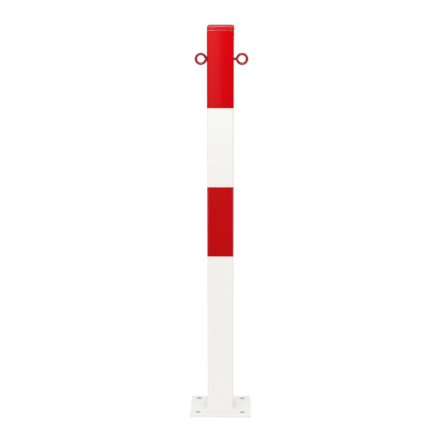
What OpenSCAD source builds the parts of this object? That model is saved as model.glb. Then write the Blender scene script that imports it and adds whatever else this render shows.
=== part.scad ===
// Fixed barrier post
// A square steel tube stands on a square base plate, with a fillet weld round its foot.
// A moulded plug closes the top, two eye bolts take a chain, and red coats band the white tube.
// Z is up, the origin is under the middle of the base plate, and all sizes are in millimetres.

/* [Post tube] */
// Width of the square tube across its flats
tube_w = 70; // [60:1:100]
// Wall thickness of the tube
tube_wall = 2.5; // [2:0.5:4]
// Outside radius of the tube's corners
tube_r = 5; // [4.5:0.5:8]
// Length of the tube above the base plate
tube_len = 1019; // [900:1:1200]
// Bevel round the tube's top end
tube_bevel = 1.2; // [0.4:0.1:1.6]

/* [Base plate] */
// Side of the square base plate
plate_w = 163; // [150:1:240]
// Thickness of the base plate
plate_t = 8; // [6:1:15]
// Radius of the plate's upright corners
plate_r = 2; // [1.5:0.5:8]
// Bevel along the plate's upper edges
plate_bevel = 0.7; // [0.3:0.1:1.2]
// Distance from an anchor hole's centre to the plate's edges
hole_inset = 21.5; // [16:0.5:22]
// Diameter of an anchor hole
hole_d = 14; // [9:1:18]
// Bevel round the top of an anchor hole
hole_bevel = 0.6; // [0.2:0.1:1]

/* [Foot weld] */
// Leg of the fillet weld, on the tube and on the plate
weld_leg = 6.5; // [4:0.5:8]
// How far the middle of the bead stands out of a flat fillet
weld_crown = 0.5; // [0.1:0.1:1]

/* [End cap] */
// Height of the cap's head above the tube
head_h = 15; // [8:1:20]
// How far the head stands proud of the tube on each side
head_proud = 0.35; // [0.1:0.05:1]
// Rounding of the head's top edges
head_round = 4; // [2:0.5:4]
// Bevel round the head's lower edge
head_bevel = 0.8; // [0.3:0.1:1]
// Thickness of the head's top wall
head_top = 3; // [2:0.5:4]
// Length of the skirt inside the tube
skirt_len = 24; // [16:1:40]
// Wall thickness of the skirt
skirt_wall = 2; // [1.5:0.5:3]
// Number of gripping fins round the skirt
fin_count = 3; // [2:1:4]
// Thickness of a fin
fin_t = 1.2; // [0.8:0.1:2]
// How far a fin stands out of the skirt
fin_reach = 1.4; // [1:0.1:2]
// Gap between the fins and the tube's inside
fin_gap = 0.5; // [0.4:0.1:0.8]
// How far the cap sits off centre, to the right
cap_shift = 0.3; // [0:0.1:0.3]

/* [Red bands] */
// Thickness of the red coats
coat_t = 0.25; // [0.1:0.05:0.5]
// Height of the upper red band, down from the tube's top end
upper_band_h = 200; // [150:1:260]
// Height of the white band between the red ones
white_band_h = 208; // [150:1:260]
// Height of the lower red band
lower_band_h = 187; // [150:1:260]

/* [Chain eyes] */
// Diameter of the eye bolt's wire, which is also its thread's pitch diameter
wire_d = 7; // [6:0.5:8]
// Inside diameter of the eye
eye_in_d = 18.5; // [17:0.5:22]
// Distance from the eye's inside edge to where its two legs meet on the axis
throat_past = 5.75; // [5:0.25:8]
// Height of the eyes' centres below the tube's top end
eye_drop = 73.5; // [60:0.5:140]
// How deep the left eye's fork sits in its hole, from 0 where it only meets the wall
left_sink = 0; // [0:0.1:1.5]
// Bare shank between the tube and the right eye's fork
right_neck = 4.6; // [2:0.1:10]
// Gap round a fork where it enters its hole
fork_play = 0.4; // [0.2:0.1:1]
// How far the right shank's end stands out of its nut
shank_past = 3; // [1:0.5:8]
// Bevel on the end of a shank
shank_bevel = 1; // [0.5:0.1:1.5]

/* [Weld nuts] */
// Height of a square weld nut
nut_h = 6.5; // [5:0.5:8]
// How far each flat of a nut laps over the hole's edge
nut_lap = 1; // [0.6:0.1:2]
// Radial play between a shank and its nut
thread_play = 0.02; // [0:0.01:0.1]
// Height of the bevel on a nut's corners
nut_bevel = 1; // [0.5:0.1:1.5]

/* [Hidden] */
$fn = 96;
cut = 1;
lap = 0.3;
leg_ease = 0.02;
weld_steps = 6;
white_coat = "#f1f1ee";
red_coat = "#d5121b";
red_plastic = "#d92c33";
red_wire = "#b3242a";
bare_steel = "#9a9c9e";

tube_top = plate_t + tube_len;
wall_in = tube_w / 2 - tube_wall;
upper_band_z = tube_top - upper_band_h;
lower_band_z = upper_band_z - white_band_h - lower_band_h;
hole_at = plate_w / 2 - hole_inset;

head_w = tube_w + 2 * head_proud;
head_r = tube_r + head_proud;
fin_w = 2 * (wall_in - fin_gap);
skirt_w = fin_w - 2 * fin_reach;
skirt_in_w = skirt_w - 2 * skirt_wall;
least_r = 0.5;
fin_r = max(least_r, tube_r - tube_wall - fin_gap);
skirt_r = max(least_r, fin_r - fin_reach);
skirt_in_r = max(least_r, skirt_r - skirt_wall);
fin_pitch = skirt_len / (fin_count + 1);

wire_r = wire_d / 2;
ring_r = (eye_in_d + wire_d) / 2;
throat = eye_in_d / 2 + throat_past;
tangent_angle = acos(ring_r / throat);
fork_angle = 90 - tangent_angle;
leg_len = ring_r * tan(tangent_angle);
fork_root = throat + wire_r * tan(fork_angle / 2);
eye_z = tube_top - eye_drop;
left_eye_x = -(tube_w / 2 + fork_root - left_sink);
right_eye_x = tube_w / 2 + fork_root + right_neck;
shank_len = right_neck + tube_wall + nut_h + shank_past;
fork_half = wire_r + (left_sink + coat_t) * tan(fork_angle);
eye_hole_d = 2 * (fork_half + fork_play);
nut_w = eye_hole_d + 2 * nut_lap;

// A square with round corners, centred
module round_square(w, r) {
    square([w, w - 2 * r], center = true);
    square([w - 2 * r, w], center = true);
    for (x = [-1, 1], y = [-1, 1])
        translate([x * (w / 2 - r), y * (w / 2 - r)])
            circle(r);
}

// A flat profile carried round a square outline with round corners.
// The profile's x runs outwards from the outline, and its y runs up.
module carry_round(w, r) {
    for (turn = [0 : 90 : 270])
        rotate([0, 0, turn]) {
            translate([w / 2, 0, 0])
                rotate([90, 0, 0])
                    linear_extrude(w - 2 * r, center = true)
                        children();
            translate([w / 2 - r, w / 2 - r, 0])
                rotate_extrude(angle = 90)
                    translate([r, 0])
                        children();
        }
}

// A round bar along X, from x = 0 outwards
module bar(r, len) {
    rotate([0, 90, 0])
        cylinder(r = r, h = len);
}

// The round hole for an eye bolt, through both side walls
module eye_holes(reach) {
    translate([-reach, 0, eye_z])
        bar(eye_hole_d / 2, 2 * reach);
}

// Square tube, as one wall carried round, with a bevelled top end
module post_tube() {
    color(white_coat)
        difference() {
            translate([0, 0, plate_t])
                carry_round(tube_w, tube_r)
                    polygon([
                        [-tube_wall, 0], [0, 0], [0, tube_len - tube_bevel],
                        [-tube_bevel, tube_len], [-tube_wall, tube_len]
                    ]);
            eye_holes(tube_w / 2 + cut);
        }
}

// Square plate with bevelled upper edges and four anchor holes
module base_plate() {
    color(white_coat)
        difference() {
            linear_extrude(plate_t)
                round_square(plate_w, plate_r);
            translate([0, 0, plate_t])
                carry_round(plate_w, plate_r)
                    polygon([
                        [cut, -plate_bevel - cut], [cut, cut],
                        [-plate_bevel, cut], [-plate_bevel, 0]
                    ]);
            for (x = [-1, 1], y = [-1, 1])
                translate([x * hole_at, y * hole_at, 0])
                    anchor_hole();
        }
}

// One anchor hole, with its upper edge bevelled
module anchor_hole() {
    translate([0, 0, -cut])
        cylinder(d = hole_d, h = plate_t + 2 * cut);
    translate([0, 0, plate_t - hole_bevel])
        cylinder(r1 = hole_d / 2, r2 = hole_d / 2 + hole_bevel + cut, h = hole_bevel + cut);
}

// Fillet weld bead round the foot of the tube
module foot_weld() {
    color(white_coat)
        translate([0, 0, plate_t])
            carry_round(tube_w, tube_r)
                polygon(concat([[0, 0]], [for (i = [0 : weld_steps]) weld_point(i / weld_steps)]));
}

// A point on the bead's face, from the toe on the plate at 0 to the toe on the tube at 1
function weld_point(t) =
    [weld_leg * (1 - t), weld_leg * t] + weld_crown * 4 * t * (1 - t) * [1, 1] / sqrt(2);

// Moulded plug: a head with rounded top edges over a hollow skirt with gripping fins
module end_cap() {
    color(red_plastic)
        translate([cap_shift, 0, tube_top])
            difference() {
                union() {
                    cap_head();
                    translate([0, 0, -skirt_len])
                        linear_extrude(skirt_len + cut)
                            round_square(skirt_w, skirt_r);
                    for (i = [0 : fin_count - 1])
                        translate([0, 0, -skirt_len + i * fin_pitch])
                            linear_extrude(fin_t)
                                round_square(fin_w, fin_r);
                }
                translate([0, 0, -skirt_len - cut])
                    linear_extrude(skirt_len + cut + head_h - head_top)
                        round_square(skirt_in_w, skirt_in_r);
            }
}

// The cap's head: a core block, with the rounded edge carried round it
module cap_head() {
    linear_extrude(head_h)
        round_square(head_w - 2 * head_round, head_r - head_round);
    carry_round(head_w, head_r) {
        union() {
            polygon([
                [-head_round, 0], [-head_bevel, 0], [0, head_bevel],
                [0, head_h - head_round], [-head_round, head_h - head_round]
            ]);
            intersection() {
                translate([-head_round, head_h - head_round])
                    circle(head_round);
                translate([-head_round, head_h - head_round])
                    square(head_round);
            }
        }
    }
}

// Red coat from the tube's top end down, which follows the end's bevel
module upper_band() {
    color(red_coat)
        difference() {
            translate([0, 0, tube_top])
                carry_round(tube_w, tube_r)
                    polygon([
                        [0, -upper_band_h], [coat_t, -upper_band_h],
                        [coat_t, -tube_bevel + (sqrt(2) - 1) * coat_t],
                        [-tube_bevel + sqrt(2) * coat_t, 0], [-tube_bevel, 0],
                        [0, -tube_bevel]
                    ]);
            eye_holes(tube_w / 2 + coat_t + cut);
        }
}

// Second red coat
module lower_band() {
    color(red_coat)
        translate([0, 0, lower_band_z])
            carry_round(tube_w, tube_r)
                square([coat_t, lower_band_h]);
}

// Eye bolt bent from round wire, with the eye's centre at the origin and its shank along -X
module eye_bolt() {
    color(red_wire) {
        rotate([90, 0, 0])
            rotate([0, 0, 180 + tangent_angle])
                rotate_extrude(angle = 360 - 2 * tangent_angle)
                    translate([ring_r, 0])
                        circle(wire_r);
        translate([-throat, 0, 0]) {
            for (side = [-1, 1])
                rotate([0, side * fork_angle, 0])
                    bar(wire_r - leg_ease, leg_len + lap);
            sphere(wire_r);
            rotate([0, 0, 180])
                bar(wire_r, fork_root - throat + shank_len - shank_bevel);
        }
        translate([-fork_root - shank_len, 0, 0])
            rotate([0, 90, 0])
                cylinder(r1 = wire_r - shank_bevel, r2 = wire_r, h = shank_bevel);
    }
}

module left_eye_bolt() {
    translate([left_eye_x, 0, eye_z])
        rotate([0, 0, 180])
            eye_bolt();
}

module right_eye_bolt() {
    translate([right_eye_x, 0, eye_z])
        eye_bolt();
}

// Square weld nut, with its seat in the plane x = 0 and its body towards +X
module weld_nut() {
    color(bare_steel)
        difference() {
            intersection() {
                translate([0, -nut_w / 2, -nut_w / 2])
                    cube([nut_h, nut_w, nut_w]);
                rotate([0, 90, 0])
                    union() {
                        cylinder(r = nut_w, h = nut_h - nut_bevel);
                        translate([0, 0, nut_h - nut_bevel])
                            cylinder(r1 = nut_w / sqrt(2), r2 = nut_w / 2, h = nut_bevel);
                    }
            }
            translate([-cut, 0, 0])
                bar(wire_r + thread_play, nut_h + 2 * cut);
        }
}

module left_weld_nut() {
    translate([-wall_in, 0, eye_z])
        weld_nut();
}

module right_weld_nut() {
    translate([wall_in, 0, eye_z])
        rotate([0, 0, 180])
            weld_nut();
}

post_tube();
base_plate();
foot_weld();
end_cap();
upper_band();
lower_band();
left_eye_bolt();
right_eye_bolt();
left_weld_nut();
right_weld_nut();
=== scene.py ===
# %% [markdown]
# # A barrier post in Blender
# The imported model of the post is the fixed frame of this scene. Its solids already have the real
# size and place, so this file adds only what the eye still misses: the finish of each surface,
# and the small forms that a plain solid leaves out, such as weld ripples and a bolt's thread.
# All lengths are in metres, Z is up, and the post's front looks along -Y.

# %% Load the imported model
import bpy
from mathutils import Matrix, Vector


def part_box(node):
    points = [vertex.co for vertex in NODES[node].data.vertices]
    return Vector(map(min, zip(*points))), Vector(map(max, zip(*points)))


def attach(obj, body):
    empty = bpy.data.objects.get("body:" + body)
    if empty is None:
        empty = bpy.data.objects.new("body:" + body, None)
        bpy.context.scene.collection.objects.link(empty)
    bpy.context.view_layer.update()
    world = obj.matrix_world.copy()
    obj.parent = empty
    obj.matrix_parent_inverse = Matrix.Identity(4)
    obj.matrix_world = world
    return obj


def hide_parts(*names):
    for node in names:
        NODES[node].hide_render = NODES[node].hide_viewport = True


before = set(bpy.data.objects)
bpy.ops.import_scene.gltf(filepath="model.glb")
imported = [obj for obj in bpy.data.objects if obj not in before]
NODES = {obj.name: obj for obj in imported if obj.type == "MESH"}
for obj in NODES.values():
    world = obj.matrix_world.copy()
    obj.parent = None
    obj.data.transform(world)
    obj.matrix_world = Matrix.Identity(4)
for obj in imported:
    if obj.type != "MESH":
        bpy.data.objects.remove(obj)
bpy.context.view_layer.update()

# %% [markdown]
# ## Sizes
# A builder of such a post thinks in millimetres, so the sizes that are chosen here are written
# in millimetres and multiplied by MM. Sizes that the solids already have could be typed in
# again, but they are read from the solids' boxes, so that the finer shapes follow the solids.
# A box is a low corner and a high corner, and it doesn't tell the radius of a tube's corners, so
# that one is repeated here.

# %% Read the sizes of the solids
import bisect
import math
import random

import bmesh
import bpy
from mathutils import Matrix, Vector, noise

MM = 0.001
random.seed(7)

tube_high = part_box("post_tube")[1]
plate_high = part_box("base_plate")[1]
weld_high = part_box("foot_weld")[1]
cap_low, cap_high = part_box("end_cap")
TUBE_HALF = tube_high.x
TUBE_CORNER = 5 * MM
TUBE_TOP = tube_high.z
PLATE_HALF = plate_high.x
PLATE_TOP = plate_high.z
WELD_LEG = weld_high.z - PLATE_TOP

print(f"tube {2 * TUBE_HALF / MM:.0f} mm wide, post {cap_high.z / MM:.0f} mm high")
print(f"plate {2 * PLATE_HALF / MM:.0f} mm wide, weld leg {WELD_LEG / MM:.1f} mm")

# %% [markdown]
# ## Camera
# The post was photographed through a long lens from just above its top, tilted down. A camera
# could be pushed about until the picture looks right. Here it is worked out: where the tube's
# edges run together gives the tilt, and their width gives the distance, so the post's own
# proportions come out true. Nothing is shifted or blurred, and the Standard view shows each
# colour as it is written.

# %% Place the camera
PICTURE = 440
SENSOR_MM = 36
FOCAL_PIXELS = 1242.4
CAMERA_DISTANCE = 3.2775
CAMERA_HEIGHT = 1.107
CAMERA_SIDE = 0.0597
CAMERA_TILT = math.radians(10.07)
CAMERA_TURN = math.radians(1.07)

camera_data = bpy.data.cameras.new("camera")
camera_data.sensor_width = SENSOR_MM
camera_data.lens = FOCAL_PIXELS * SENSOR_MM / PICTURE
camera = bpy.data.objects.new("camera", camera_data)
camera.location = (CAMERA_SIDE, -CAMERA_DISTANCE, CAMERA_HEIGHT)
camera.rotation_euler = (math.pi / 2 - CAMERA_TILT, 0, CAMERA_TURN)
bpy.context.scene.collection.objects.link(camera)
bpy.context.scene.camera = camera
bpy.context.scene.view_settings.view_transform = "Standard"
print(f"lens {camera_data.lens:.1f} mm, {CAMERA_DISTANCE:.2f} m away")

# %% [markdown]
# ## Colours and nodes
# Paint charts and screens give colours as sRGB hex values, but Blender's shaders work with
# linear light, so one function turns the one into the other by the sRGB formula. Materials could
# be joined up by hand in the shader editor. Here a second small function adds a node, sets its
# values and joins its links, so that each material can be read from its pattern to its surface.

# %% Helpers for materials
def linear(hex_colour):
    """The linear RGBA of an sRGB hex colour such as 'c8102e'."""
    shares = [int(hex_colour[i:i + 2], 16) / 255 for i in (0, 2, 4)]
    light = [s / 12.92 if s <= 0.04045 else ((s + 0.055) / 1.055) ** 2.4 for s in shares]
    return (*light, 1.0)


def add_node(tree, kind, settings=None, links=None):
    """Adds a node, sets its attributes or sockets by name, and links its inputs by name."""
    node = tree.nodes.new(kind)
    for name, value in (settings or {}).items():
        if isinstance(name, int) or name in node.inputs:
            node.inputs[name].default_value = value
        else:
            setattr(node, name, value)
    for name, source in (links or {}).items():
        tree.links.new(source, node.inputs[name])
    return node


def empty_material(name):
    """A material without nodes, and its node tree."""
    material = bpy.data.materials.new(name)
    material.use_nodes = True
    material.node_tree.nodes.clear()
    return material, material.node_tree


print("helpers ready; a mid grey of 808080 is", round(linear("808080")[0], 3), "in linear light")

# %% [markdown]
# ## Powder coat
# The steel is finished in polyester powder coat: dry powder is sprayed on and baked until it
# flows. It never flows quite flat, which leaves orange peel, a soft dimpling 2 to 3 mm across
# and about a hundredth of a millimetre deep. It also lies thicker in some places, which shifts
# its tone in broad patches. To the eye this gives a clean sheen whose edges waver. A plain colour
# would do from afar, but would look like plastic close up. So one function makes every coat: two
# close tones, orange peel as bump, and a roughness that varies slightly with the peel. The tone
# also drifts from the first to the second over a span of heights, and that drift is painted light
# and shade, not a change in the coat. The peel has its real scale, which is about one pixel of the
# picture, and it shows best in a close-up.

# %% One function for every coat
PATCH_MM = 60
PATCH_STRENGTH = 0.3
SHEEN_VARIES = 0.15
COAT_IOR = 1.5


def coat(name, tones, span, roughness, shine, peel_mm, peel_depth_mm):
    """A coat whose tone drifts from the first to the second over a span of heights, as painted light
    and shade.
    """
    material, tree = empty_material(name)
    place = add_node(tree, "ShaderNodeTexCoord").outputs["Object"]
    height = add_node(tree, "ShaderNodeSeparateXYZ", links={0: place}).outputs["Z"]
    # The drift over the span of heights is painted light and shade: lighter or darker where more or
    # less light falls on the surface or is mirrored by it.
    drift = add_node(
        tree, "ShaderNodeMapRange", {"From Min": span[0], "From Max": span[1]},
        {"Value": height})
    patches = add_node(
        tree, "ShaderNodeTexNoise", {"Scale": 1 / (PATCH_MM * MM), "Detail": 2.0},
        {"Vector": place})
    patchy = add_node(
        tree, "ShaderNodeMath", {"operation": "MULTIPLY_ADD", 1: PATCH_STRENGTH},
        {0: patches.outputs["Fac"], 2: drift.outputs["Result"]})
    centred = add_node(
        tree, "ShaderNodeMath", {"operation": "SUBTRACT", 1: PATCH_STRENGTH / 2, "use_clamp": True},
        {0: patchy.outputs[0]})
    tone = add_node(
        tree, "ShaderNodeMix",
        {"data_type": "RGBA", 6: linear(tones[0]), 7: linear(tones[1])}, {0: centred.outputs[0]})
    peel = add_node(
        tree, "ShaderNodeTexNoise", {"Scale": 1 / (peel_mm * MM), "Detail": 1.5},
        {"Vector": place}).outputs["Fac"]
    bump = add_node(
        tree, "ShaderNodeBump", {"Strength": 1.0, "Distance": peel_depth_mm * MM},
        {"Height": peel})
    sheen = add_node(
        tree, "ShaderNodeMapRange",
        {"To Min": (1 - SHEEN_VARIES) * roughness, "To Max": (1 + SHEEN_VARIES) * roughness},
        {"Value": peel})
    surface = add_node(
        tree, "ShaderNodeBsdfPrincipled", {"IOR": COAT_IOR, "Specular IOR Level": shine},
        {"Base Color": tone.outputs[2], "Normal": bump.outputs[0], "Roughness": sheen.outputs[0]})
    add_node(tree, "ShaderNodeOutputMaterial", links={"Surface": surface.outputs["BSDF"]})
    print(f"{name}: {tones[0]} to {tones[1]}, peel {peel_mm} mm across")
    return material


print(f"a coat's tone shifts in patches {PATCH_MM} mm across")

# %% [markdown]
# ## White coats
# One white powder covers the tube, the weld and the plate. On the tube its tone is painted
# faintly lighter and cooler at the top, and it warms and darkens downwards until 620 mm above the
# ground; the lighter top is painted light that falls from above. On the plate and the weld it is a
# little greyer. Where it melts over the weld's ripples it lies smoother. The walls of the anchor
# holes are painted light grey, as painted shade inside the holes. One material with masks could
# show all this, but four plain ones are easier to change.

# %% White coats
PAINTED_LIGHT_ENDS = 620 * MM
PLATE_SPAN = (PLATE_TOP, 0)

# The tube's lighter top tone is painted light falling from above, and it fades out by 620 mm.
white_coat = coat(
    "white_powder_coat", ("f8fbf6", "f2f0ec"), (TUBE_TOP, PAINTED_LIGHT_ENDS),
    roughness=0.3, shine=0.25, peel_mm=2.6, peel_depth_mm=0.01)
plate_coat = coat(
    "white_powder_coat_on_plate", ("f0f0ef", "f0f0ef"), PLATE_SPAN,
    roughness=0.3, shine=0.25, peel_mm=2.6, peel_depth_mm=0.01)
# The light grey of the hole walls is painted shade inside the recess.
hole_shade_coat = coat(
    "painted_shade_in_the_holes", ("d6d6d5", "d6d6d5"), PLATE_SPAN,
    roughness=0.4, shine=0.25, peel_mm=2.6, peel_depth_mm=0.01)
weld_coat = coat(
    "white_powder_coat_on_weld", ("eeeeed", "eeeeed"), PLATE_SPAN,
    roughness=0.2, shine=0.15, peel_mm=1.8, peel_depth_mm=0.01)

# %% [markdown]
# ## Red coats
# The bands are masked off with tape and sprayed over the white in red enamel. Enamel stays wet
# long enough to flow out almost flat, so its peel is only a thousandth of a millimetre deep, and
# the surface mirrors what stands before it. The upper band is the glossier of the two, and its red
# is painted brighter than the lower band's, as painted light that falls from above; each band also
# darkens towards its foot, a painted fall of light. The eye bolts are red too, duller, and with a
# finer peel on their thin wire. The same function makes these coats, because they differ from the
# powder only in their numbers.

# %% Red coats
UPPER_BAND = (TUBE_TOP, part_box("upper_band")[0].z)
LOWER_BAND = (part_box("lower_band")[1].z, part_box("lower_band")[0].z)

# The upper band's brighter red and each band's darker foot are painted light falling from above.
upper_red = coat(
    "red_coat_painted_brighter", ("e2020f", "d4040f"), UPPER_BAND,
    roughness=0.055, shine=0.5, peel_mm=2.2, peel_depth_mm=0.0012)
lower_red = coat(
    "red_coat_painted_darker", ("c4060b", "c0060b"), LOWER_BAND,
    roughness=0.12, shine=0.5, peel_mm=2.2, peel_depth_mm=0.0012)
wire_coat = coat(
    "red_coat_on_wire", ("b41820", "a8141e"), (TUBE_TOP, PLATE_TOP),
    roughness=0.25, shine=0.5, peel_mm=1.2, peel_depth_mm=0.01)

# %% [markdown]
# ## Necks of the eyes
# Just beside the tube the wire is painted a deeper red, as painted shade in the corner between
# the wire and the tube. A second material on a few faces would show a hard seam there. So the
# wire's own coat is mixed with a deeper red by how far a point is from the middle of the post, and
# the mix changes smoothly over 4 mm.

# %% Painted shade on the wire beside the tube
# The deeper red is painted shade in the corner beside the tube.
NECK_PAINTED_SHADE = "840a10"
NECK_LIGHT = TUBE_HALF + 7 * MM
NECK_DARK = TUBE_HALF + 3 * MM


def paint_shade_inwards(material, light_at, dark_at, colour):
    """Mixes a coat with a colour of painted shade towards the plane X = 0, fully so within dark_at."""
    tree = material.node_tree
    surface = next(node for node in tree.nodes if node.type == "BSDF_PRINCIPLED")
    tone = surface.inputs["Base Color"].links[0].from_socket
    place = add_node(tree, "ShaderNodeTexCoord").outputs["Object"]
    across = add_node(tree, "ShaderNodeSeparateXYZ", links={0: place}).outputs["X"]
    away = add_node(tree, "ShaderNodeMath", {"operation": "ABSOLUTE"}, {0: across})
    share = add_node(
        tree, "ShaderNodeMapRange", {"From Min": dark_at, "From Max": light_at},
        {"Value": away.outputs[0]})
    mixed = add_node(
        tree, "ShaderNodeMix", {"data_type": "RGBA", 6: linear(colour)},
        {0: share.outputs["Result"], 7: tone})
    tree.links.new(mixed.outputs[2], surface.inputs["Base Color"])


paint_shade_inwards(wire_coat, NECK_LIGHT, NECK_DARK, NECK_PAINTED_SHADE)
print(f"the wire's coat turns from red to {NECK_PAINTED_SHADE} over {(NECK_LIGHT - NECK_DARK) / MM:.0f} mm")

# %% [markdown]
# ## Moulded plastic
# A cap like this is usually polyethylene, dyed red through and moulded against smooth steel. It
# comes out with a sharp sheen and a grain too shallow to feel. Its flat top is painted a shade
# darker than its sides, as a painted dark reflection. It needs no function of its own: the coat
# function gives it a drift over the top 2 mm for that painted reflection, and its peel stands for
# the grain.

# %% Cap plastic
PAINTED_DARK_TOP = 2 * MM

# The darker top tone, b4181c, is a painted dark reflection on the cap's top face.
cap_plastic = coat(
    "moulded_red_plastic", ("b4181c", "dc2024"), (cap_high.z, cap_high.z - PAINTED_DARK_TOP),
    roughness=0.09, shine=0.5, peel_mm=0.5, peel_depth_mm=0.001)

# %% [markdown]
# ## Bare steel
# The nuts inside the tube are cut from cold drawn bar and get no powder. Drawing leaves fine
# streaks along the bar, and handling leaves a faint stain, so the metal shines along the streaks
# in an uneven grey. An anisotropic shader could do this, but two noises are simpler: one is
# stretched along X for the streaks, which are 4 mm long and 0.3 mm wide, and one is round for the
# stain, 9 mm across.

# %% Steel of the nuts
STREAK_LONG = 4 * MM
STREAK_WIDE = 0.3 * MM
STREAK_DEEP = 0.004 * MM
STAIN = 9 * MM
WEAR_VARIES = 0.2


def bare_steel(name, tones, roughness):
    """Cold drawn steel, with fine streaks along its drawing direction and a faint oily stain."""
    material, tree = empty_material(name)
    place = add_node(tree, "ShaderNodeTexCoord").outputs["Object"]
    drawn = add_node(
        tree, "ShaderNodeMapping", {"Scale": (1 / STREAK_LONG, 1 / STREAK_WIDE, 1 / STREAK_WIDE)},
        {"Vector": place})
    streaks = add_node(
        tree, "ShaderNodeTexNoise", {"Scale": 1.0, "Detail": 2.0},
        {"Vector": drawn.outputs["Vector"]}).outputs["Fac"]
    stain = add_node(
        tree, "ShaderNodeTexNoise", {"Scale": 1 / STAIN, "Detail": 2.0}, {"Vector": place})
    tone = add_node(
        tree, "ShaderNodeMix",
        {"data_type": "RGBA", 6: linear(tones[0]), 7: linear(tones[1])}, {0: stain.outputs["Fac"]})
    worn = add_node(
        tree, "ShaderNodeMapRange",
        {"To Min": (1 - WEAR_VARIES) * roughness, "To Max": (1 + WEAR_VARIES) * roughness},
        {"Value": streaks})
    bump = add_node(
        tree, "ShaderNodeBump", {"Strength": 1.0, "Distance": STREAK_DEEP}, {"Height": streaks})
    surface = add_node(
        tree, "ShaderNodeBsdfPrincipled", {"Metallic": 1.0},
        {"Base Color": tone.outputs[2], "Normal": bump.outputs[0], "Roughness": worn.outputs[0]})
    add_node(tree, "ShaderNodeOutputMaterial", links={"Surface": surface.outputs["BSDF"]})
    return material


nut_steel = bare_steel("bare_drawn_steel", ("9a9b9c", "8d8c8a"), roughness=0.35)
print(f"{nut_steel.name}: streaks {STREAK_LONG / MM:.0f} mm long, stain {STAIN / MM:.0f} mm across")

# %% [markdown]
# ## Solids that stay
# The tube, its two bands and the two nuts are plain shapes, and the solids already show all of
# their form. They could be built again here, but a finish is all they lack. So each keeps its
# mesh, and only its material is changed.

# %% Dress the tube, the bands and the nuts
for node, material in (
        ("post_tube", white_coat), ("upper_band", upper_red), ("lower_band", lower_red),
        ("left_weld_nut", nut_steel), ("right_weld_nut", nut_steel)):
    NODES[node].data.materials.clear()
    NODES[node].data.materials.append(material)
    print(f"{node} is finished in {material.name}")

# %% [markdown]
# ## Building by outlines
# Most of the post's other parts are one profile carried round a square with round corners. So the
# meshes below are built the same way: a list of rings, each a closed loop of points, with faces
# stitched between each ring and the next. It could be done with a curve and a bevel object, but
# rings give every edge its own rounding and leave clean, even faces.

# %% Helpers for meshes
CORNER_STEPS = 8


def round_square(half, radius):
    """The points of a square outline with round corners, anticlockwise from above."""
    points = []
    for corner in range(4):
        turn = math.radians(90 * corner)
        centre = Matrix.Rotation(turn, 2) @ Vector((half - radius, half - radius))
        for step in range(CORNER_STEPS + 1):
            angle = turn + math.radians(90) * step / CORNER_STEPS
            points.append(centre + radius * Vector((math.cos(angle), math.sin(angle))))
    return points


def stitch(rings, around_again=False):
    """Faces between each ring and the next, as lists of vertex numbers."""
    count = len(rings[0])
    last = len(rings) if around_again else len(rings) - 1
    faces = []
    for ring in range(last):
        above = (ring + 1) % len(rings)
        for i in range(count):
            k = (i + 1) % count
            faces.append((ring * count + i, ring * count + k, above * count + k, above * count + i))
    return faces


def show_piece(name, mesh, material, node):
    """Puts a mesh in the scene in place of a solid, smooth, with its large faces kept flat."""
    mesh.validate()
    mesh.shade_smooth()
    mesh.materials.append(material)
    piece = bpy.data.objects.new(name, mesh)
    bpy.context.scene.collection.objects.link(piece)
    piece.modifiers.new("flat faces stay flat", "WEIGHTED_NORMAL")
    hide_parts(node)
    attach(piece, "root")
    print(f"{name}: {len(mesh.vertices)} points, {len(mesh.polygons)} faces")
    return piece


print("a round square has", len(round_square(TUBE_HALF, TUBE_CORNER)), "points")

# %% [markdown]
# ## Base plate
# The plate is cut from 8 mm sheet. A cut edge is never quite sharp, and the coat, which pulls
# back from sharp edges as it melts, rounds it further. A bevel modifier could round every edge
# alike, but the holes have a smaller rounding than the outside. So the plate is made as rings
# that turn over each edge in a small arc, round the outside and through each anchor hole, and the
# flat faces are filled between them. The holes repeat the solid's size and places.

# %% Walls of the plate
EDGE_STEPS = 4
OUTER_ROUND = 0.7 * MM
HOLE_ROUND = 0.6 * MM
FACE_CORNER = 2 * MM
HOLE_HALF = 7 * MM
HOLE_AT = 60 * MM
HOLE_SIDES = 48


def edge_profile(rounding, thickness):
    """(inset, height) pairs from the upper face, over the edge, to the lower face."""
    quarter = [math.radians(90) * i / EDGE_STEPS for i in range(EDGE_STEPS + 1)]
    upper = [(rounding * (1 - math.sin(a)), thickness - rounding * (1 - math.cos(a))) for a in quarter]
    lower = [(inset, thickness - height) for inset, height in reversed(upper)]
    return upper + lower


def hole_ring(x, y, radius):
    """The points round an anchor hole, clockwise from above."""
    turns = [-2 * math.pi * i / HOLE_SIDES for i in range(HOLE_SIDES)]
    return [Vector((x + radius * math.cos(a), y + radius * math.sin(a))) for a in turns]


def add_wall(work, outlines, finish):
    """Adds a wall from (outline, height) pairs, and returns its upper and lower loops of edges."""
    rings = [[work.verts.new((p.x, p.y, z)) for p in outline] for outline, z in outlines]
    for low, high in zip(rings[1:], rings[:-1]):
        for i in range(len(low)):
            k = (i + 1) % len(low)
            work.faces.new((low[i], low[k], high[k], high[i])).material_index = finish
    ends = []
    for ring in (rings[0], rings[-1]):
        ends.append([work.edges.get((ring[i], ring[(i + 1) % len(ring)])) for i in range(len(ring))])
    return ends


print(f"each edge of the plate turns over in {EDGE_STEPS} steps")

# %% Plate
# The second material, on the hole walls, carries their painted shade.
MAIN_COAT, HOLE_SHADE = 0, 1

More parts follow.
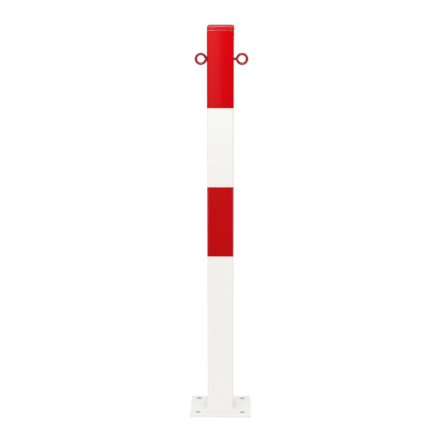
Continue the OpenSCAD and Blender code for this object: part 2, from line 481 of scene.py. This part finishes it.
work = bmesh.new()
walls = [add_wall(work, [
    (round_square(PLATE_HALF - inset, FACE_CORNER + OUTER_ROUND - inset), z)
    for inset, z in edge_profile(OUTER_ROUND, PLATE_TOP)], MAIN_COAT)]
for x in (-HOLE_AT, HOLE_AT):
    for y in (-HOLE_AT, HOLE_AT):
        walls.append(add_wall(work, [
            (hole_ring(x, y, HOLE_HALF + inset), z)
            for inset, z in edge_profile(HOLE_ROUND, PLATE_TOP)], HOLE_SHADE))
for side in (0, 1):
    loops = [edge for wall in walls for edge in wall[side]]
    bmesh.ops.triangle_fill(work, use_beauty=True, edges=loops)
bmesh.ops.recalc_face_normals(work, faces=work.faces)
plate_mesh = bpy.data.meshes.new("coated_base_plate")
work.to_mesh(plate_mesh)
work.free()
show_piece("coated_base_plate", plate_mesh, plate_coat, "base_plate")
plate_mesh.materials.append(hole_shade_coat)

# %% [markdown]
# ## Foot weld
# A fillet weld is laid round the foot by hand, one run along each side. As the arc moves, each
# pool of metal freezes in a thin crescent against the last one, and these crescents are the
# ripples of a weld. They bow back in the middle, their pitch is uneven, and each run starts with
# a small lump, in the middle of a corner. Bump could fake the ripples, but it leaves the bead's
# outline straight. So the bead is a loft: its cross section is carried round the tube in thin
# steps, and every step stands out as far as its ripple does.

# %% The way round the foot
STEP_ALONG = 0.3 * MM

mid_radius = TUBE_CORNER + WELD_LEG / 2
straight = 2 * (TUBE_HALF - TUBE_CORNER)
side_long = straight + mid_radius * math.pi / 2
bead_long = 4 * side_long
steps_along = round(bead_long / STEP_ALONG)


def station(distance):
    """A point on the tube's outline and its outward direction, at a distance along the bead."""
    side, along = divmod(distance % bead_long, side_long)
    turn = Matrix.Rotation(math.radians(90) * side, 2)
    if along < straight:
        point, outward = Vector((TUBE_HALF, along - straight / 2)), Vector((1, 0))
    else:
        angle = (along - straight) / mid_radius
        outward = Vector((math.cos(angle), math.sin(angle)))
        point = Vector((TUBE_HALF - TUBE_CORNER, straight / 2)) + TUBE_CORNER * outward
    return turn @ point, turn @ outward


print(f"the bead is {bead_long / MM:.0f} mm long, in {steps_along} steps")

# %% Ripples and lumps
RIPPLE_PITCH = (1.7 * MM, 2.5 * MM)
RIPPLE_HIGH = 0.22 * MM
RIPPLE_BOW = 2.2 * MM
RIPPLE_LEAN = 1.3  # above 1, a crest lies past the middle of its ripple
RIPPLE_BLUNT = 2.5  # the higher, the broader a crest
TOE_FADE = 0.7  # the lower, the nearer to the toes a ripple stays high
RUN_LUMP = 0.45 * MM
RUN_LUMP_LONG = 5 * MM
WANDERS = 6  # the higher, the quicker the toes wander
ROWS_APART = 3

run_marks = []
for run in range(4):
    marks = [-RIPPLE_BOW]
    while marks[-1] < side_long + RIPPLE_BOW:
        marks.append(marks[-1] + random.uniform(*RIPPLE_PITCH))
    run_marks.append(marks)


def ripple(distance, across):
    """How far the bead's ripple stands out, across the bead from one toe at 0 to the other at 1."""
    shifted = distance - straight - mid_radius * math.pi / 4
    run, along = divmod(shifted % bead_long, side_long)
    marks = run_marks[int(run) % 4]
    bowed = along + RIPPLE_BOW * (4 * across * (1 - across) - 1)
    mark = max(1, bisect.bisect(marks, bowed))
    share = (bowed - marks[mark - 1]) / (marks[mark] - marks[mark - 1])
    crest = 1 - abs(2 * share ** RIPPLE_LEAN - 1) ** RIPPLE_BLUNT
    nearest = min(along, side_long - along)
    lump = RUN_LUMP * math.exp(-(nearest / RUN_LUMP_LONG) ** 2)
    return (RIPPLE_HIGH * crest + lump) * math.sin(math.pi * across) ** TOE_FADE


def waver(distance, row):
    """A slow random wander between -1 and 1 that joins up after one way round."""
    angle = 2 * math.pi * distance / bead_long
    place = (WANDERS * math.cos(angle), WANDERS * math.sin(angle), ROWS_APART * row)
    return noise.noise(Vector(place))


print("ripples in each run:", [len(marks) - 1 for marks in run_marks])

# %% Weld
BEAD_CROWN = 0.3 * MM
TOE_WAVER = 0.05
ACROSS = 16
SINK = 0.1 * MM

rings = []
for step in range(steps_along):
    distance = bead_long * step / steps_along
    point, outward = station(distance)
    leg_out = WELD_LEG * (1 - TOE_WAVER + TOE_WAVER * waver(distance, 1))
    leg_up = WELD_LEG * (1 - TOE_WAVER + TOE_WAVER * waver(distance, 2))
    section = [(-SINK, -SINK), (leg_out, -SINK)]
    for i in range(ACROSS + 1):
        across = i / ACROSS
        swell = (4 * across * (1 - across) * BEAD_CROWN + ripple(distance, across)) / math.sqrt(2)
        section.append((leg_out * (1 - across) + swell, leg_up * across + swell))
    section.append((-SINK, leg_up))
    rings.append([
        (point.x + outward.x * out, point.y + outward.y * out, PLATE_TOP + up) for out, up in section])

weld_mesh = bpy.data.meshes.new("rippled_weld")
weld_mesh.from_pydata([p for ring in rings for p in ring], [], stitch(rings, True))
show_piece("rippled_weld", weld_mesh, weld_coat, "foot_weld")

# %% [markdown]
# ## End cap
# The cap is injection moulded in one piece: a square head, and under it a hollow skirt with soft
# fins that grip the tube's inside. Moulded plastic has no sharp edge, and the head's top is
# crowned by half a millimetre. At its foot the head flares out into a thin lip, as at the line
# where a mould opens. A box with a bevel could give the head alone. The profile below gives all
# of the cap: it runs from the middle of the top over the edge, down the skirt and its fins, and
# back up inside to the middle, and is carried round as rings. Heights count from the tube's top.

# %% Profile of the head
HEAD_HIGH = cap_high.z - TUBE_TOP
HEAD_HALF = (cap_high.x - cap_low.x) / 2
HEAD_ROUND = 4.8 * MM
HEAD_CROWN = 0.5 * MM
CROWN_LEFT = 0.2  # the share of the crown that is left where the edge starts to turn
TOP_RINGS = 7
ROUND_STEPS = 8
LIP_PROUD = 0.15 * MM
LIP_TOP = 1.25 * MM
LIP_FOOT = 0.1 * MM
LIP_TURN = 0.1 * MM
LIP_SOFT = 0.05
FOOT_ROUND = 0.24 * MM
FOOT_MIDWAY = (1 / 3, 0.3)  # the middle point of the foot's rounding, in shares of its sides

profile = []
for i in range(1, TOP_RINGS):
    reach = (HEAD_HALF - HEAD_ROUND) * (i / TOP_RINGS)
    profile.append((reach, HEAD_HIGH - HEAD_CROWN * (reach / HEAD_HALF) ** 2))
for i in range(ROUND_STEPS + 1):
    angle = math.radians(90) * i / ROUND_STEPS
    crown = HEAD_CROWN * math.cos(angle) * CROWN_LEFT
    profile.append((
        HEAD_HALF - LIP_PROUD - HEAD_ROUND * (1 - math.sin(angle)),
        HEAD_HIGH - HEAD_CROWN - HEAD_ROUND * (1 - math.cos(angle)) + crown))
profile += [
    (HEAD_HALF - LIP_PROUD, LIP_TOP + LIP_TURN),
    (HEAD_HALF - (1 - LIP_SOFT) * LIP_PROUD, LIP_TOP),
    (HEAD_HALF - LIP_SOFT * LIP_PROUD, LIP_FOOT + LIP_TURN / 2),
    (HEAD_HALF, LIP_FOOT),
    (HEAD_HALF - FOOT_MIDWAY[0] * FOOT_ROUND, FOOT_MIDWAY[1] * LIP_FOOT),
    (HEAD_HALF - FOOT_ROUND, 0)]
print(f"the head is {HEAD_HIGH / MM:.0f} mm high and {2 * HEAD_HALF / MM:.1f} mm wide")

# %% Profile of the skirt
SKIRT_LONG = TUBE_TOP - cap_low.z
SKIRT_HALF = 30.6 * MM
SKIRT_WALL = 2 * MM
SKIRT_FILLET = 0.4 * MM
FIN_HALF = 32 * MM
FIN_THICK = 1.2 * MM
FIN_PITCH = 6 * MM
FIN_FILLET = 0.3 * MM
FIN_TIP = 0.4 * MM
FIN_WIDEST = 0.6  # how far up its thickness a fin is widest
FIN_TUCK = 0.1  # how far up its thickness its tip starts to tuck in
HEAD_WALL = 3 * MM
CEILING_FILLET = 0.5 * MM
CEILING_RING = 0.3

profile += [(SKIRT_HALF + SKIRT_FILLET, 0), (SKIRT_HALF, -SKIRT_FILLET)]
for fin in (2, 1, 0):
    low = -SKIRT_LONG + fin * FIN_PITCH
    profile += [
        (SKIRT_HALF, low + FIN_THICK + FIN_FILLET),
        (SKIRT_HALF + FIN_FILLET, low + FIN_THICK),
        (FIN_HALF - FIN_TIP, low + FIN_THICK),
        (FIN_HALF, low + FIN_WIDEST * FIN_THICK),
        (FIN_HALF - FIN_TIP / 2, low + FIN_TUCK * FIN_THICK),
        (SKIRT_HALF, low)]
inner = SKIRT_HALF - SKIRT_WALL
ceiling = HEAD_HIGH - HEAD_WALL
profile += [
    (inner, -SKIRT_LONG), (inner, ceiling - CEILING_FILLET),
    (inner - CEILING_FILLET, ceiling), (CEILING_RING * inner, ceiling)]
print(f"the skirt is {SKIRT_LONG / MM:.0f} mm long, and the profile has {len(profile)} points")

# %% Cap
HEAD_CORNER = TUBE_CORNER + HEAD_HALF - TUBE_HALF
LEAST_CORNER = 0.12  # a ring's corner radius is at least this share of its reach

cap_middle = (cap_high.x + cap_low.x) / 2
rings = []
for reach, height in profile:
    radius = max(HEAD_CORNER - (HEAD_HALF - reach), LEAST_CORNER * reach)
    rings.append([(cap_middle + p.x, p.y, TUBE_TOP + height) for p in round_square(reach, radius)])
points = [p for ring in rings for p in ring]
faces = [tuple(reversed(face)) for face in stitch(rings)]
count = len(rings[0])
faces.append(tuple(range(count)))
faces.append(tuple(reversed(range(len(points) - count, len(points)))))
cap_mesh = bpy.data.meshes.new("moulded_cap")
cap_mesh.from_pydata(points, [], faces)
show_piece("moulded_cap", cap_mesh, cap_plastic, "end_cap")

# %% [markdown]
# ## Eye bolts
# Each eye is bent cold from one length of round wire. A thread is rolled on its straight end,
# then the wire turns off the axis in a short bend, runs straight for a moment and goes round in
# a ring, and its cut end closes against the bend. A torus and a cylinder would show an eye, but
# not how the wire runs into it. So the piece is drawn as the bender works: a path that goes
# forward and turns, in one plane, with the wire's round section swept along it.

# %% The bender's moves
WIRE_R = 3.5 * MM
RING_R = 12.75 * MM
THROAT = 15 * MM
BEND_R = 6 * MM
CLOSING_GAP = 2.65 * MM

right_low, right_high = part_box("right_eye_bolt")
left_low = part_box("left_eye_bolt")[0]
EYE_HEIGHT = (right_low.z + right_high.z) / 2
fork_angle = math.asin(RING_R / THROAT)
leg_long = RING_R / math.tan(fork_angle)
bend_reach = BEND_R * math.tan(fork_angle / 2)
shank_end = -(right_high.x - right_low.x) + RING_R + WIRE_R
straight_shank = -shank_end - THROAT - bend_reach
around = 2 * math.pi - 2 * (math.pi / 2 - fork_angle)
moves = [
    (BEND_R * fork_angle, BEND_R),
    (leg_long - bend_reach, None),
    (RING_R * around, -RING_R),
    (leg_long - CLOSING_GAP, None)]
print(f"the fork opens {math.degrees(fork_angle):.1f} degrees to each side")

# %% Wire path
PATH_STEP = 0.7 * MM
THREAD_PITCH = 1.25 * MM
THREAD_STEPS = 10


def walk(moves, start, step):
    """Stations (distance, x, z, heading) along moves, each a length and a radius to turn in."""
    x, z, heading, distance = start, 0.0, 0.0, 0.0
    stations = [(distance, x, z, heading)]
    for length, radius in moves:
        count = max(1, round(length / step))
        for _ in range(count):
            small = length / count
            bend = small / radius if radius else 0.0
            x += small * math.cos(heading + bend / 2)
            z += small * math.sin(heading + bend / 2)
            heading += bend
            distance += small
            stations.append((distance, x, z, heading))
    return stations


shank = walk([(straight_shank, None)], shank_end, THREAD_PITCH / THREAD_STEPS)
bent = walk(moves, shank[-1][1], PATH_STEP)
stations = shank + [(d + straight_shank, x, z, h) for d, x, z, h in bent[1:]]
whole_length = stations[-1][0]
print(f"each eye is bent from {whole_length / MM:.0f} mm of wire, in {len(stations)} stations")

# %% [markdown]
# ## Thread
# Rolling presses a thread's root in and pushes its crest out, so the thread is a little thicker
# than the wire it is rolled on, and it runs out where the wire turns. It could be cut with a
# screw modifier and a boolean, which leaves ragged faces. Here the sweep along the wire makes it:
# the radius rises and falls as a helix with flat crests and roots, and fades at the thread's end.
# The sign before the angle sets the hand of the thread, and minus, as here, winds it to the left.

# %% Sweep the wire
WIRE_SIDES = 40
THREAD_HIGH = 0.38 * MM
THREAD_RUNOUT = 1.5 * MM
THREAD_FLAT = 0.175
END_ROUND = 0.6 * MM


def wire_radius(distance, angle):
    """The wire's radius: full on the eye, a helix on the thread, and rounded at both ends."""
    from_end = min(distance, whole_length - distance)
    ease = 0.0
    if from_end < END_ROUND:
        ease = END_ROUND * (1 - math.sqrt(1 - (1 - from_end / END_ROUND) ** 2))
    thread_end = straight_shank - THREAD_RUNOUT
    fade = min(1.0, max(0.0, (thread_end - distance) / THREAD_RUNOUT))
    wave = abs(((distance / THREAD_PITCH - angle / (2 * math.pi)) % 1) * 2 - 1)
    flank = min(1.0, max(0.0, (1 + 2 * THREAD_FLAT) * wave - THREAD_FLAT))
    return WIRE_R + THREAD_HIGH * fade * (2 * flank - 1) - ease


rings = []
for distance, x, z, heading in stations:
    ring = []
    for i in range(WIRE_SIDES):
        angle = 2 * math.pi * i / WIRE_SIDES
        out = wire_radius(distance, angle)
        ring.append(Vector((
            x - out * math.cos(angle) * math.sin(heading),
            out * math.sin(angle),
            z + out * math.cos(angle) * math.cos(heading))))
    rings.append(ring)
print(f"the thread has a pitch of {THREAD_PITCH / MM} mm; the wire has {len(rings)} rings")

# %% [markdown]
# ## Both eyes
# The left eye bolt is the right one turned half round about the post's axis, and screwed in
# further. A mirror would do for the ring, but it would give the two threads opposite hands. So
# both are placed from the same rings, and the left one is turned. The boxes of the solids say how
# far each stands out.

# %% Place both eyes
for name, node, way, middle in (
        ("right_bent_eye", "right_eye_bolt", 1, right_high.x - RING_R - WIRE_R),
        ("left_bent_eye", "left_eye_bolt", -1, left_low.x + RING_R + WIRE_R)):
    points = [(middle + way * p.x, way * p.y, EYE_HEIGHT + p.z) for ring in rings for p in ring]
    faces = stitch(rings)
    count = len(rings[0])
    faces.append(tuple(reversed(range(count))))
    faces.append(tuple(range(len(points) - count, len(points))))
    eye_mesh = bpy.data.meshes.new(name)
    eye_mesh.from_pydata(points, [], faces)
    work = bmesh.new()
    work.from_mesh(eye_mesh)
    bmesh.ops.recalc_face_normals(work, faces=work.faces)
    work.to_mesh(eye_mesh)
    work.free()
    show_piece(name, eye_mesh, wire_coat, node)

# %% [markdown]
# ## Floor
# The post stands on white, as in a catalogue. More lamps would turn a floor white, but they would
# bleach the coats too. So the floor is a pale matt sheet that lights the post from below as a
# studio floor does, and a weak glow that only the camera, gloss and glass see lifts it to white.
# The post's shadow still falls on it.

# %% Floor
FLOOR_HALF = 60.0
FLOOR_GAP = 0.2 * MM
FLOOR_TONE = 0.8
FLOOR_LIFT = 0.275
WHITE = (1, 1, 1, 1)


def seen_directly(tree):
    """1 for rays from the camera, gloss and glass, and 0 for the light that falls on things."""
    path = add_node(tree, "ShaderNodeLightPath")
    first = add_node(
        tree, "ShaderNodeMath", {"operation": "MAXIMUM"},
        {0: path.outputs["Is Camera Ray"], 1: path.outputs["Is Glossy Ray"]})
    both = add_node(
        tree, "ShaderNodeMath", {"operation": "MAXIMUM"},
        {0: first.outputs[0], 1: path.outputs["Is Transmission Ray"]})
    return both.outputs[0]


floor_mesh = bpy.data.meshes.new("floor")
signs = ((-1, -1), (1, -1), (1, 1), (-1, 1))
corners = [(x * FLOOR_HALF, y * FLOOR_HALF, -FLOOR_GAP) for x, y in signs]
floor_mesh.from_pydata(corners, [], [(0, 1, 2, 3)])
floor = bpy.data.objects.new("floor", floor_mesh)
bpy.context.scene.collection.objects.link(floor)

floor_material, tree = empty_material("pale_floor")
lift = add_node(
    tree, "ShaderNodeMath", {"operation": "MULTIPLY", 1: FLOOR_LIFT}, {0: seen_directly(tree)})
glow = add_node(tree, "ShaderNodeEmission", {"Color": WHITE}, {"Strength": lift.outputs[0]})
matt = add_node(tree, "ShaderNodeBsdfDiffuse", {"Color": (FLOOR_TONE, FLOOR_TONE, FLOOR_TONE, 1)})
both = add_node(tree, "ShaderNodeAddShader", links={0: glow.outputs[0], 1: matt.outputs[0]})
add_node(tree, "ShaderNodeOutputMaterial", links={"Surface": both.outputs[0]})
floor_mesh.materials.append(floor_material)
print(f"floor {2 * FLOOR_HALF:.0f} m wide, {FLOOR_GAP / MM:.1f} mm under the plate")

# %% [markdown]
# ## Room light
# A catalogue studio lights a white object evenly from the front, the top and the back, and less
# from the sides, so that its upright edges turn a little darker and it stands out from the white.
# Many lamps could do that. The world does it more simply: its light falls with the square of a
# direction's X, and seen directly it is a plain white backdrop instead.

# %% Room light and backdrop
ROOM_LIGHT = 1.065
SIDE_LOSS = 0.6
BACKDROP = 1.03

world = bpy.data.worlds.new("studio")
world.use_nodes = True
bpy.context.scene.world = world
tree = world.node_tree
tree.nodes.clear()
way = add_node(tree, "ShaderNodeTexCoord").outputs["Generated"]
sideways = add_node(tree, "ShaderNodeSeparateXYZ", links={0: way}).outputs["X"]
squared = add_node(tree, "ShaderNodeMath", {"operation": "POWER", 1: 2.0}, {0: sideways})
dimmed = add_node(
    tree, "ShaderNodeMath", {"operation": "MULTIPLY_ADD", 1: -SIDE_LOSS, 2: ROOM_LIGHT},
    {0: squared.outputs[0]})
room = add_node(tree, "ShaderNodeBackground", {"Color": WHITE}, {"Strength": dimmed.outputs[0]})
backdrop = add_node(tree, "ShaderNodeBackground", {"Color": WHITE, "Strength": BACKDROP})
either = add_node(
    tree, "ShaderNodeMixShader",
    links={0: seen_directly(tree), 1: room.outputs[0], 2: backdrop.outputs[0]})
add_node(tree, "ShaderNodeOutputWorld", links={"Surface": either.outputs[0]})
print(f"room light {ROOM_LIGHT} in front and {ROOM_LIGHT - SIDE_LOSS:.3f} from either side")

# %% [markdown]
# ## Softboxes
# Two wide, weak softboxes stand in front, one on each side, and the left one is the stronger.
# They give the forms a direction that an even room lacks. Small lamps would throw hard shadows,
# so these are large rectangles. Gloss doesn't see them: what it mirrors is set by cards below.

# %% Softboxes
SOFTBOX_SIDE = 2.4
SOFTBOX_FRONT = 2.2
SOFTBOX_HEIGHT = 1.5
SOFTBOX_AIM = Vector((0, 0, 0.6))
SOFTBOX_WIDE = 1.8
SOFTBOX_TALL = 1.6


def softbox(name, place, watts):
    """A rectangular area lamp at a place, turned towards the post."""
    data = bpy.data.lights.new(name, "AREA")
    data.shape = "RECTANGLE"
    data.size = SOFTBOX_WIDE
    data.size_y = SOFTBOX_TALL
    data.energy = watts
    lamp = bpy.data.objects.new(name, data)
    lamp.location = place
    lamp.rotation_mode = "QUATERNION"
    lamp.rotation_quaternion = (SOFTBOX_AIM - Vector(place)).to_track_quat("-Z", "Y")
    lamp.visible_glossy = False
    bpy.context.scene.collection.objects.link(lamp)
    print(f"{name} softbox: {watts} W")
    return lamp


softbox("key", (-SOFTBOX_SIDE, -SOFTBOX_FRONT, SOFTBOX_HEIGHT), watts=16)
softbox("fill", (SOFTBOX_SIDE, -SOFTBOX_FRONT, SOFTBOX_HEIGHT), watts=13)

# %% [markdown]
# ## Cards
# A photographer shapes the shine of gloss paint with cards around the set. A dark card keeps a
# surface deep in colour, and a bright window puts a highlight on it. Lamps would do for the bright
# ones, but they would light the coats too. So each card here is a plane with a glow of its own,
# from none to bright, that only reflections see: it lights nothing matt and casts no shadow. Its
# glow can rise from its foot to its top.

# %% A card
CARD_Y = -3.6
GLOW_FOOT = 0.1
GLOW_TOP = 0.95


def upright(left, right, low, high, y=CARD_Y):
    """The corners of an upright card that faces the post."""
    return [(left, y, low), (right, y, low), (right, y, high), (left, y, high)]


def card(name, corners, foot_glow=0.0, top_glow=0.0):
    """A card that only reflections see, with its glow at two heights; without a glow it is dark."""
    mesh = bpy.data.meshes.new(name)
    mesh.from_pydata(corners, [], [(0, 1, 2, 3)])
    piece = bpy.data.objects.new(name, mesh)
    bpy.context.scene.collection.objects.link(piece)
    material, tree = empty_material(name)
    place = add_node(tree, "ShaderNodeTexCoord").outputs["Object"]
    height = add_node(tree, "ShaderNodeSeparateXYZ", links={0: place}).outputs["Z"]
    glow = add_node(
        tree, "ShaderNodeMapRange",
        {"From Min": GLOW_FOOT, "From Max": GLOW_TOP, "To Min": foot_glow, "To Max": top_glow},
        {"Value": height})
    shine = add_node(tree, "ShaderNodeEmission", links={"Strength": glow.outputs[0]})
    add_node(tree, "ShaderNodeOutputMaterial", links={"Surface": shine.outputs[0]})
    mesh.materials.append(material)
    piece.visible_camera = False
    piece.visible_diffuse = False
    piece.visible_shadow = False
    print(f"card {name}: glow {foot_glow} to {top_glow}")
    return piece


print(f"the wall of cards stands {-CARD_Y:.1f} m in front of the post")

# %% [markdown]
# ## Dark cards
# Gloss red looks deep only where it mirrors something dark. The wall that the post's front
# mirrors is black on the right, and on the left it rises from near black to a dim grey, which
# lifts the left half of the bands a little. The lower band also mirrors the floor, so a dark sheet
# lies there, and two slanting cards are mirrored by the post's upright edges and its sides. The
# strip behind the post is met only at a grazing angle, and draws the thin dark line along the
# cap's top edge. Dark paint on the bands could not do this, since it would stay put when the post
# is seen from elsewhere.

# %% Dark cards
WALL_SIDE = 3
WALL_TOP = 1.4
CARD_EDGE = -0.07
SHEET_SIDE = 2
SHEET_END = -0.5
SHEET_UP = 1 * MM
STRIP_SIDE = 0.4
STRIP_LOW, STRIP_HIGH = 1.0, 1.2
STRIP_Y = 0.45
NEAR_SIDE = 1.9
FAR_SIDE = 0.7
FAR_Y = 3
SIDE_LOW, SIDE_HIGH = 0.5, 1.3

card("left_wall", upright(-WALL_SIDE, CARD_EDGE, 0, WALL_TOP), foot_glow=0.1, top_glow=0.4)
card("dark_wall", upright(CARD_EDGE, WALL_SIDE, 0, WALL_TOP))
card("dark_floor", [
    (-SHEET_SIDE, CARD_Y, SHEET_UP), (SHEET_SIDE, CARD_Y, SHEET_UP),
    (SHEET_SIDE, SHEET_END, SHEET_UP), (-SHEET_SIDE, SHEET_END, SHEET_UP)])
strip = upright(-STRIP_SIDE, STRIP_SIDE, STRIP_LOW, STRIP_HIGH, STRIP_Y)
card("dark_strip", strip, foot_glow=0.1, top_glow=0.1)
for side in (-1, 1):
    near, far = NEAR_SIDE * side, FAR_SIDE * side
    card("dark_side", [
        (near, CARD_Y, SIDE_LOW), (far, FAR_Y, SIDE_LOW),
        (far, FAR_Y, SIDE_HIGH), (near, CARD_Y, SIDE_HIGH)])

# %% [markdown]
# ## Bright windows
# Two windows above the camera give the gloss its highlights. The upper one is mirrored by forms
# that turn upwards, such as the cap's rounding and the wire of the eyes. The left one is small
# and bright, and is mirrored by the cap's rounding and its lip, mostly left of the middle. One
# large window would be simpler. But these are no larger than the front view needs, because a wide
# one washes out the plate when the post is seen from behind.

# %% Bright windows
UPPER_GLOW = 5.5
LEFT_GLOW = 13.0

upper = upright(left=-0.8, right=0.8, low=2.2, high=5.0)
left = upright(left=-0.5, right=-0.12, low=1.62, high=2.05)
card("upper_window", upper, UPPER_GLOW, UPPER_GLOW)
card("left_window", left, LEFT_GLOW, LEFT_GLOW)
